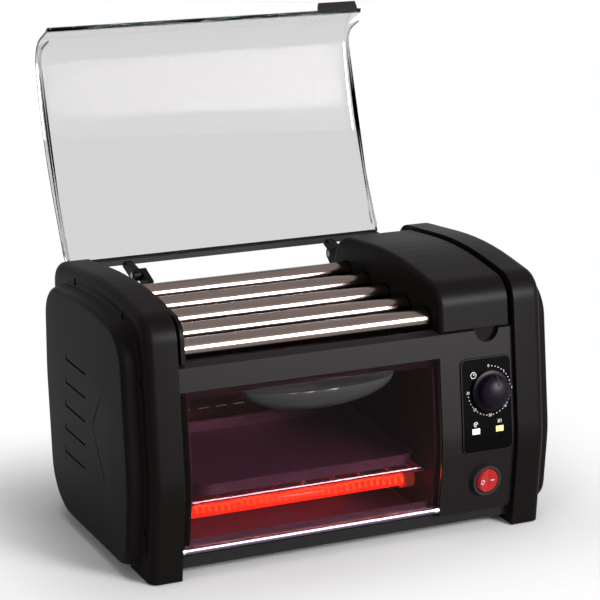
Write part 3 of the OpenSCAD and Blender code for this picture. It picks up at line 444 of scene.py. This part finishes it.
# Pressed hoods over the rear panel's slots, open below, with a cheek at each end
panel_in, hood_out, hood_sheet = 4.0, 3.2, 0.6
hood_columns, hood_rows, hood_pitch, hood_x0, hood_z0 = 12, 4, 16, -112, 60
hoods = []
for i in range(hood_columns):
    for j in range(hood_rows):
        x, z = hood_x0 + hood_pitch * i, hood_z0 + hood_pitch * j
        y = rear_depth(z) - 0.1
        hoods.append(prism(x - 0.6, x + 11.6, [
            (y, z + 3.8), (y + hood_out, z - 0.4), (y + hood_out - hood_sheet, z - 0.8),
            (y, z + 3.0)]))
        for cheek in (x - 0.6, x + 11):
            hoods.append(prism(cheek, cheek + hood_sheet, [
                (y, z + 3.0), (y + hood_out - hood_sheet, z - 0.8), (y, z - 0.8)]))
louvres = joined("rear_louvre_hoods", hoods)
louvres.data.materials.append(dark_steel)
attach(louvres, "root")
switch_plastic = finish("switch_plastic", (0.010, 0.010, 0.010), 0.3, specular=0.35)
dress(switch_plastic, "cord_gland")

# ---- Roller bed
# Five polished stainless tubes turn in nylon bushes, between the moulded left wall and the
# drive housing. All five turn the same way, driven from the right.
dress(black_plastic, "left_bed_wall")
# The steel's colour is darkened and browned: painted dark reflection, not the polished steel's own
# colour.
steel_painted_reflection = finish("polished_steel_painted_reflection", (0.17, 0.130, 0.115), 0.17, metallic=1.0, grain=260,
               relief=0.03, streak=(0.05, 1, 1), tone=0.05)
dress(steel_painted_reflection, "roller_1", "roller_2", "roller_3", "roller_4", "roller_5")
nylon = finish("natural_nylon", (0.78, 0.74, 0.64), 0.5, relief=0.05, tone=0.05)
dress(nylon, "roller_bushes")

# ---- Drive housing
# A moulded cover over the gears at the right end of the roller bed. The rollers go in
# through five round holes in its left wall, and it is open below.


def front_depth(height, d):
    """Depth of the front outline at a height, moved in by d."""
    line = sorted((p.y, p.x) for p in outline(d) if p.x < -30 and p.y < 190)
    for (z0, y0), (z1, y1) in zip(line, line[1:]):
        if z0 <= height <= z1 and z1 > z0:
            return y0 + (y1 - y0) * (height - z0) / (z1 - z0)
    return line[-1][1]


housing_in, housing_bottom, housing_back, cover_notch_y, lid_edge_z = 2.0, 142.0, 128.0, -39.5, 161.2
HOUSING_CORNERS = [(front_depth(housing_bottom, housing_in), housing_bottom, 0),
                   (housing_back, housing_bottom, 0), (housing_back + 0.5, 191, 24),
                   (CAP_CORNERS[4][0], CAP_CORNERS[4][1] - housing_in, 330),
                   (CAP_CORNERS[5][0] + housing_in, CAP_CORNERS[5][1] - housing_in, 20)]
housing_x, housing_end, housing_edge, wall = 76.0, 135.4, 4.0, 2.5
housing_middle = Vector((35, 172))
roller_depths = [38.4 + 33 * (i - 2) for i in range(5)]
roller_z = 166.0


def housing_ring(x, d):
    return x, evenly_round(rounded(moved_in(HOUSING_CORNERS, d)), housing_middle, 260)


housing = skin_of("drive_housing_shell", [
    housing_ring(housing_x + housing_edge * (1 - math.sin(a)), housing_edge * (1 - math.cos(a)))
    for a in (math.radians(t) for t in range(90, -1, -10))] + [housing_ring(housing_end, 0)])
hollow = skin_of("cutter", [housing_ring(housing_x + wall, wall + 1),
                            housing_ring(housing_x + wall + 2, wall),
                            housing_ring(housing_end - wall, wall)])
open_floor = prism(housing_x + wall, housing_end - wall,
                   [(-37, 135), (125.5, 135), (125.5, 154), (-37, 154)])
notch = prism(66, 146, [(-100, 100), (cover_notch_y, 100), (cover_notch_y, lid_edge_z),
                         (-100, lid_edge_z)])
holes = [prism(70, housing_x + wall + 1, disc(y, roller_z, 9, 48)) for y in roller_depths]
cut(housing, hollow, joined("cutter", [open_floor]), joined("cutter", [notch]),
    joined("cutter", holes))
housing.data.materials.append(black_plastic)
smooth(housing)
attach(housing, "root")
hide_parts("drive_housing")

# ---- Gear train
# Nylon gears on the roller ends with idlers between them, turned by a brass pinion on the
# geared motor.
dress(nylon, *["roller_gear_%d" % (i + 1) for i in range(5)],
      *["idler_gear_%d" % (i + 1) for i in range(4)])
dress(finish("machined_brass", (0.72, 0.56, 0.26), 0.25, metallic=1.0, grain=400),
      "motor_pinion")
dress(finish("motor_can", (0.58, 0.59, 0.6), 0.3, metallic=1.0, grain=300), "drive_motor")

# ---- Front cover
# One satin moulding: the ledge under the lid's edge and the column with the controls. It
# has a finger dimple where the lid's tab comes down.
dress(finish("cover_plastic", (0.0110, 0.0085, 0.0095), 0.38, specular=0.06, grain=1100),
      "front_cover")

# ---- Control plate, dial and lamps
# A dark printed plate on the column. Its marks are fired white ink: a ring of numbers and
# dots round the timer, a clock, and an icon above each of the two lamps.
dress(finish("control_face", (0.0030, 0.0026, 0.0029), 0.28, specular=0.015, relief=0.03),
      "control_plate")
dress(finish("timer_case", (0.62, 0.58, 0.48), 0.5), "timer_body")


def front_frame(x, height, d=4.0):
    """A frame on the cover's front: its Z points out of the cover, its Y up the cover."""
    lean = math.atan((front_depth(height + 6, d) - front_depth(height - 6, d)) / 12)
    made = Matrix(((1, 0, 0), (0, math.sin(lean), math.cos(lean)),
                   (0, -math.cos(lean), math.sin(lean)))).transposed().to_4x4()
    made.translation = Vector(place(x, front_depth(height, d), height))
    return made


timer_x, timer_z, plate_x, lens_z, lens_spread = 117.5, 112.0, 115.0, 82.0, 10.4
ink_lift, plate_in = 0.06, 3.2
marks_verts, marks_faces = [], []


def ink(points):
    """One printed patch from points in x and height, laid on the plate's face."""
    start = len(marks_verts)
    for x, z in points:
        marks_verts.append(place(x, front_depth(z, plate_in) - ink_lift, z))
    marks_faces.append(tuple(range(start, start + len(points))))


def ink_ring(x, z, r, width, count=24, turn=1.0):
    for k in range(int(count * turn)):
        a, b = math.tau * k / count, math.tau * (k + 1) / count
        ink([(x + q * math.cos(t), z + q * math.sin(t))
             for q, t in ((r, a), (r, b), (r - width, b), (r - width, a))])


def ink_line(a, b, width):
    ink(slab(a, b, width))


def ink_word(text, x, z, size):
    """Plain figures in the built-in face, centred on x and z."""
    curve = bpy.data.curves.new("figure", "FONT")
    curve.body, curve.size = text, size
    curve.align_x = curve.align_y = "CENTER"
    thing = bpy.data.objects.new("figure", curve)
    scene.collection.objects.link(thing)
    bpy.context.view_layer.update()
    flat = thing.evaluated_get(bpy.context.evaluated_depsgraph_get()).to_mesh()
    for face in flat.polygons:
        ink([(x + flat.vertices[i].co.x, z + flat.vertices[i].co.y) for i in face.vertices])
    bpy.data.objects.remove(thing)


dial_r = 18.8
for i in range(7):
    turn = math.radians(90 - 45 * i)
    ink_word(str(5 * i), timer_x + dial_r * math.cos(turn), timer_z + dial_r * math.sin(turn), 3.0)
    for k in range(1, 5):
        between = turn - math.radians(9 * k)
        if i < 6:
            ink([(timer_x + dial_r * math.cos(between) + p[0],
                  timer_z + dial_r * math.sin(between) + p[1]) for p in disc(0, 0, 0.42, 10)])
clock = (104.0, 125.0)
ink_ring(*clock, 2.6, 0.5)
ink_line(clock, (clock[0], clock[1] + 1.7), 0.45)
ink_line(clock, (clock[0] + 1.2, clock[1] + 0.7), 0.45)
roll_icon = (plate_x - lens_spread, lens_z + 5.4)
ink_ring(*roll_icon, 1.9, 0.5, turn=0.8)
ink_ring(*roll_icon, 0.8, 0.4)
heat_icon = (plate_x + lens_spread, lens_z + 4.6)
for k in (-1, 0, 1):
    ink_line((heat_icon[0] + 1.3 * k, heat_icon[1]), (heat_icon[0] + 1.3 * k + 0.5,
                                                     heat_icon[1] + 1.2), 0.45)
    ink_line((heat_icon[0] + 1.3 * k + 0.5, heat_icon[1] + 1.2),
             (heat_icon[0] + 1.3 * k, heat_icon[1] + 2.6), 0.45)
marks = joined("dial_marks", [(marks_verts, marks_faces)])
white_ink = finish("white_ink", (0.82, 0.82, 0.82), 0.5, relief=0.02, tone=0.03)
marks.data.materials.append(white_ink)
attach(marks, "root")


plate_w, plate_h, plate_mid, plate_r, edge_w, edge_lift = 44.0, 73.0, 101.5, 5.0, 0.8, 0.45


def plate_path(d):
    """The plate's rounded outline in x and height, moved in by d, with points up its sides."""
    w, h, r = plate_w / 2 - d, plate_h / 2 - d, plate_r - d
    out = []
    for cx, cz, start in ((w - r, h - r, 0), (r - w, h - r, 90), (r - w, r - h, 180),
                          (w - r, r - h, 270)):
        for k in range(7):
            t = math.radians(start + 15 * k)
            out.append((plate_x + cx + r * math.cos(t), plate_mid + cz + r * math.sin(t)))
        if start in (90, 270):
            (x, z), far = out[-1], (r - h if start == 90 else h - r) + plate_mid
            out += [(x, z + (far - z) * k / 14) for k in range(1, 14)]
    return out


edge_verts, edge_faces = [], []
for d, lift in ((0, -0.3), (0, edge_lift), (edge_w, edge_lift), (edge_w, -0.3)):
    edge_verts += [place(x, front_depth(z, plate_in) - lift, z) for x, z in plate_path(d)]
around = len(edge_verts) // 4
for row in range(4):
    for k in range(around):
        edge_faces.append((row * around + k, row * around + (k + 1) % around,
                           (row + 1) % 4 * around + (k + 1) % around, (row + 1) % 4 * around + k))
plate_edge = joined("control_plate_edge", [(edge_verts, edge_faces)])
plate_edge.data.materials.append(finish("plate_edge", (0.014, 0.010, 0.018), 0.35, specular=0.06))
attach(plate_edge, "root")


def lit(name, colour, strength, rough=0.3):
    """A finish that gives off light in its own colour: a moulded lens with a small lamp behind it,
    the heaters' wires and tubes, and painted glow on the ceramic end caps.
    """
    mat = finish(name, colour, rough, relief=0.03, tone=0.04)
    shader = mat.node_tree.nodes["Principled BSDF"]
    shader.inputs["Emission Color"].default_value = (*colour, 1)
    shader.inputs["Emission Strength"].default_value = strength
    return mat


dress(lit("lamp_white", (0.86, 0.9, 0.98), 0.5), "roll_lens")
dress(lit("lamp_green", (0.8, 0.82, 0.25), 0.45), "heat_lens")

# ---- Timer knob
# A turned-looking moulding in dark violet plastic: a wide thin skirt, a round grip with a
# softly domed top, and a raised pointer.


def lathe(profile, matrix, count=96):
    """A turned piece from (radius, height) points about the Z axis of matrix."""
    verts, faces = [], []
    for r, h in profile:
        for k in range(count):
            a = math.tau * k / count
            verts.append(matrix @ Vector((r * math.cos(a) * MM, r * math.sin(a) * MM, h * MM)))
    for j in range(len(profile) - 1):
        faces += [(j * count + k, j * count + (k + 1) % count, (j + 1) * count + (k + 1) % count,
                   (j + 1) * count + k) for k in range(count)]
    last = (len(profile) - 1) * count
    faces += [tuple(range(count))[::-1], tuple(range(last, last + count))]
    return [tuple(v) for v in verts], faces


def round_over(r, h, edge, steps=6):
    """A rounded outer edge that ends at radius r - edge and height h."""
    return [(r - edge * (1 - math.cos(a)), h - edge * (1 - math.sin(a)))
            for a in (math.radians(90 * k / steps) for k in range(steps + 1))]


knob_frame = front_frame(timer_x, timer_z)
skirt_r, grip_r = 16, 12.5
knob_shape = lathe([(15.6, 1.3)] + round_over(skirt_r, 3.9, 0.8)
                   + [(grip_r + 0.7, 4.3), (grip_r + 0.1, 4.8)]
                   + [(grip_r * math.cos(t), 10.5 + 5.6 * math.sin(t))
                      for t in (math.radians(k) for k in range(0, 88, 6))], knob_frame)
pointer_verts, pointer_faces = [], []
for x, y, z in ((-0.9, 5, 14), (0.9, 5, 14), (0.9, 13.2, 10), (-0.9, 13.2, 10),
                (-0.4, 5.5, 16.3), (0.4, 5.5, 16.3), (0.4, 12.9, 13.2), (-0.4, 12.9, 13.2)):
    pointer_verts.append(tuple(knob_frame @ Vector((x * MM, y * MM, z * MM))))
pointer_faces = [(3, 2, 1, 0), (4, 5, 6, 7), (0, 1, 5, 4), (1, 2, 6, 5), (2, 3, 7, 6), (3, 0, 4, 7)]
knob = joined("timer_knob_turned", [knob_shape, (pointer_verts, pointer_faces)])
knob.data.materials.append(finish("knob_plastic", (0.0085, 0.0055, 0.0115), 0.40, specular=0.05,
                                  grain=1300))
smooth(knob)
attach(knob, "knob")
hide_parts("timer_knob")

# ---- Rocker switch
# A round snap-in switch: black bezel and barrel, and a red rocker on a pin. A white ring
# marks off and a dash marks on.
dress(finish("red_plastic", (0.42, 0.012, 0.014), 0.3, specular=0.2, relief=0.03), "rocker")
dress(switch_plastic, "switch_body")
rocker_x, rocker_z, rocker_face, rocker_slope = 114.5, 42.0, 3.2, math.tan(math.radians(20))
rocker_frame = front_frame(rocker_x, rocker_z) @ Matrix.Translation((0, 0, MM))


def on_rocker(points):
    """Points in the rocker's own x and y, laid on its two flat faces."""
    return [tuple(rocker_frame @ Vector((x * MM, y * MM, (rocker_face + max(0, -x) * rocker_slope
                                                          + ink_lift) * MM))) for x, y in points]


sign_verts, sign_faces = [], []
patches = [[(-5 + r * math.cos(t), r * math.sin(t)) for r, t in
            ((1.9, a), (1.9, a + math.tau / 24), (1.3, a + math.tau / 24), (1.3, a))]
           for a in (math.tau * k / 24 for k in range(24))]
patches.append([(3.1, -0.35), (6.3, -0.35), (6.3, 0.35), (3.1, 0.35)])
for patch in patches:
    sign_faces.append(tuple(range(len(sign_verts), len(sign_verts) + len(patch))))
    sign_verts += on_rocker(patch)
signs = joined("rocker_signs", [(sign_verts, sign_faces)])
signs.data.materials.append(white_ink)
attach(signs, "switch_rocker")

# ---- Door
# Tinted toughened glass with a moulded scoop handle, hung on a bright steel rod along its
# lower edge.


def tinted_glass(name, tint, shade, ior, mirror):
    """Clear sheet with a tint. Light passes it with that tint too, so no hard shadow falls."""
    mat = bpy.data.materials.new(name)
    mat.use_nodes = True
    nodes, links = mat.node_tree.nodes, mat.node_tree.links
    shader = nodes["Principled BSDF"]
    shader.inputs["Base Color"].default_value = (*tint, 1)
    shader.inputs["Transmission Weight"].default_value = 1
    shader.inputs["IOR"].default_value = ior
    shader.inputs["Specular Tint"].default_value = (mirror, mirror, mirror, 1)
    smear, gloss = nodes.new("ShaderNodeTexNoise"), nodes.new("ShaderNodeMapRange")
    smear.inputs["Scale"].default_value = 14
    gloss.inputs["To Min"].default_value = 0.0
    gloss.inputs["To Max"].default_value = 0.03
    links.new(smear.outputs["Fac"], gloss.inputs["Value"])
    links.new(gloss.outputs[0], shader.inputs["Roughness"])
    path, open_way = nodes.new("ShaderNodeLightPath"), nodes.new("ShaderNodeBsdfTransparent")
    open_way.inputs["Color"].default_value = (*shade, 1)
    blend = nodes.new("ShaderNodeMixShader")
    links.new(path.outputs["Is Shadow Ray"], blend.inputs[0])
    links.new(shader.outputs[0], blend.inputs[1])
    links.new(open_way.outputs[0], blend.inputs[2])
    links.new(blend.outputs[0], nodes["Material Output"].inputs["Surface"])
    return mat


dress(tinted_glass("smoked_glass", (0.46, 0.28, 0.30), (0.45, 0.32, 0.34), 1.2, 0.5), "door_glass")
# The rod's steel is darkened and tinted violet: painted reflection, not the bright steel's own
# colour.
dress(finish("rod_steel_painted_reflection", (0.16, 0.13, 0.17), 0.35, metallic=1.0, relief=0.03), "door_rod")
handle_x, handle_z, handle_w, handle_out = -27.4, 137.0, 124.0, 20.0
handle_mesh = bpy.data.meshes.new("door_handle_scoop")
scoop = bmesh.new()
bmesh.ops.create_uvsphere(scoop, u_segments=72, v_segments=40, radius=1.0,
                          matrix=Matrix.Rotation(math.radians(90), 4, "Y"))
bmesh.ops.scale(scoop, vec=(handle_w / 2 * MM, handle_out * MM, handle_out * MM),
                verts=scoop.verts)
handle_frame = front_frame(handle_x, handle_z)
bmesh.ops.translate(scoop, vec=handle_frame.translation, verts=scoop.verts)
for point, normal in ((handle_frame.translation, Vector((0, 0, 1))),
                      (handle_frame.translation, -handle_frame.to_3x3().col[2])):
    whole = scoop.verts[:] + scoop.edges[:] + scoop.faces[:]
    bmesh.ops.bisect_plane(scoop, geom=whole, plane_co=point, plane_no=normal, clear_outer=True)
    bmesh.ops.holes_fill(scoop, edges=[e for e in scoop.edges if e.is_boundary])
bmesh.ops.recalc_face_normals(scoop, faces=scoop.faces)
scoop.to_mesh(handle_mesh)
scoop.free()
handle = bpy.data.objects.new("door_handle_scoop", handle_mesh)
scene.collection.objects.link(handle)
edge = handle.modifiers.new("rim", "BEVEL")
edge.width, edge.segments, edge.angle_limit = 1.1 * MM, 3, math.radians(40)
handle_mesh.materials.append(finish("handle_plastic", (0.020, 0.018, 0.020), 0.44, specular=0.32))
smooth(handle, 40)
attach(handle, "door")
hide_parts("door_handle")

# ---- Oven
# Dark enamelled walls, a wire rack with its tray, and three quartz heaters. Each heater is a
# clear tube with a wound wire in it, held at its ends in ceramic.
enamel = finish("dark_enamel", (0.030, 0.018, 0.020), 0.45, specular=0.15, grain=500, relief=0.1)
dress(enamel, "oven_left_wall", "oven_right_wall")
dress(finish("violet_enamel", (0.075, 0.052, 0.092), 0.36, specular=0.3, grain=500),
      "bun_tray", "crumb_tray")
# The rack wire's steel is tinted pink: painted red light from the heaters, not its own colour.
dress(finish("rack_wire_painted_pink_light", (0.50, 0.44, 0.44), 0.25, metallic=1.0, relief=0.03), "wire_rack")
# The end caps' red colour and glow are painted light from the heaters, not the ceramic's own colour.
dress(lit("ceramic", (0.62, 0.10, 0.06), 0.35, 0.7), "heater_end_caps")
# The wires: one unbroken winding in each tube, drawn a little slack, so that it lies in a
# slow wave along the tube.
HEATERS = [(-124.0, 66.0, -20.0, 35.0), (-124.0, 66.0, 74.0, 35.0), (-126.2, 70.0, 38.4, 145.0)]
coil_r, wire_r, coil_turns, wave = 3.0, 0.6, 36, 0.6


def winding(x0, x1, depth, height):
    steps, sides = coil_turns * 20, 8
    line = []
    for i in range(steps + 1):
        a, t = math.tau * i / 20, i / steps
        line.append(Vector((x0 + (x1 - x0) * t, depth + coil_r * math.cos(a),
                            height + coil_r * math.sin(a) + wave * math.sin(math.tau * 4 * t))))
    verts = []
    for i, p in enumerate(line):
        way = (line[min(i + 1, steps)] - line[max(i - 1, 0)]).normalized()
        out = Vector((0, math.cos(math.tau * i / 20), math.sin(math.tau * i / 20)))
        out = (out - way * out.dot(way)).normalized()
        across = way.cross(out)
        for k in range(sides):
            b = math.tau * k / sides
            q = p + (out * math.cos(b) + across * math.sin(b)) * wire_r
            verts.append(place(q.x, q.y, q.z))
    faces = [(i * sides + k, i * sides + (k + 1) % sides, (i + 1) * sides + (k + 1) % sides,
              (i + 1) * sides + k) for i in range(steps) for k in range(sides)]
    faces += [tuple(range(sides))[::-1], tuple(range(steps * sides, (steps + 1) * sides))]
    return verts, faces


def quartz_tube(x0, x1, depth, height):
    """A tube that ends in the ceramic caps, past the ends of its wire, with eased ends."""
    along = Matrix.Translation(place(x0 - 2, depth, height)) @ Matrix.Rotation(math.pi / 2, 4, "Y")
    length = x1 - x0 + 4
    return lathe([(quartz_r - 0.4, 0), (quartz_r, 0.4), (quartz_r, length - 0.4),
                  (quartz_r - 0.4, length)], along, 40)


# The two heaters of the oven are at full glow, and the one under the rollers is only warm.
quartz_r = 5.5
for where, group, wire_glow, tube_colour, tube_glow in (
        ("oven", HEATERS[:2], 4.5, (1.0, 0.028, 0.010), 2.5),
        ("bed", HEATERS[2:], 0.25, (0.20, 0.010, 0.006), 0.05)):
    wires = joined(where + "_heater_windings", [winding(*h) for h in group])
    wires.data.materials.append(lit(where + "_wire", (1.0, 0.22, 0.06), wire_glow))
    tubes = joined(where + "_heater_tubes", [quartz_tube(*h) for h in group])
    quartz = lit(where + "_quartz", tube_colour, tube_glow, 0.1)
    quartz.node_tree.nodes["Principled BSDF"].inputs["Alpha"].default_value = 0.72
    tubes.data.materials.append(quartz)
    for piece, node, slot in ((wires, "heating_coils", "hot_wire"),
                              (tubes, "quartz_tubes", "quartz")):
        smooth(piece, 60)
        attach(piece, "root")
        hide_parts(node)

# ---- Lid
# One clear sheet bent over the roller bed with a turned-down flange at each side. A black
# strip with a finger tab stiffens its front edge, and a bar at the back carries its arms.
lid_x, lid_t, lid_rise, flange_depth, lid_angle = 138.7, 2.0, 1.0, 8.0, -112.0
edge_slope, edge_y0 = 0.124, 52
hinge_at = Vector(place(0, 147, 168.5))
swing = (Matrix.Translation(hinge_at) @ Matrix.Rotation(math.radians(lid_angle), 4, "X")
         @ Matrix.Translation(-hinge_at))


def above_edge(points, rise):
    """The part of an outline above the lid's slanting edge, from back to front."""
    height = [p.y - (lid_edge_z + rise + edge_slope * (p.x + edge_y0)) for p in points]
    start = next(i for i in range(len(points)) if height[i - 1] < 0 <= height[i])
    out = []
    for k in range(len(points) + 1):
        i, j = (start + k - 1) % len(points), (start + k) % len(points)
        if height[i] * height[j] < 0:
            out.append(points[i].lerp(points[j], height[i] / (height[i] - height[j])))
        if height[j] >= 0:
            out.append(points[j])
        elif k:
            break
    return out


def strip_between(d0, d1, rise, x0, x1):
    outer, inner = above_edge(outline(d0), rise), above_edge(outline(d1), rise)
    n = min(len(outer), len(inner))
    verts = [place(x, p.x, p.y) for x in (x0, x1) for p in outer[:n] + inner[:n]]
    faces = []
    for i in range(n - 1):
        faces += [(i, i + 1, 2 * n + i + 1, 2 * n + i), (n + i + 1, n + i, 3 * n + i, 3 * n + i + 1),
                  (i + 1, i, n + i, n + i + 1), (2 * n + i, 2 * n + i + 1, 3 * n + i + 1, 3 * n + i)]
    for i in (0, n - 1):
        faces.append((i, n + i, 3 * n + i, 2 * n + i))
    return verts, faces


lid = joined("lid_sheet", [
    strip_between(-lid_rise, lid_t - lid_rise, 0, -lid_x, lid_x),
    strip_between(lid_t - lid_rise + 0.01, flange_depth - lid_rise, 3, lid_x - 2, lid_x),
    strip_between(lid_t - lid_rise + 0.01, flange_depth - lid_rise, 3, -lid_x, 2 - lid_x)])
lid.data.transform(swing)
lid.data.materials.append(tinted_glass("clear_lid", (0.66, 0.66, 0.66), (0.75, 0.75, 0.75), 1.45,
                                    0.012))
smooth(lid)
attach(lid, "lid")
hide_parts("lid_shell")
dress(black_plastic, "lid_front_strip", "lid_rear_bar", "hinge_brackets")
# The hinge pins share the steel's painted dark reflection colour.
dress(steel_painted_reflection, "hinge_pins")
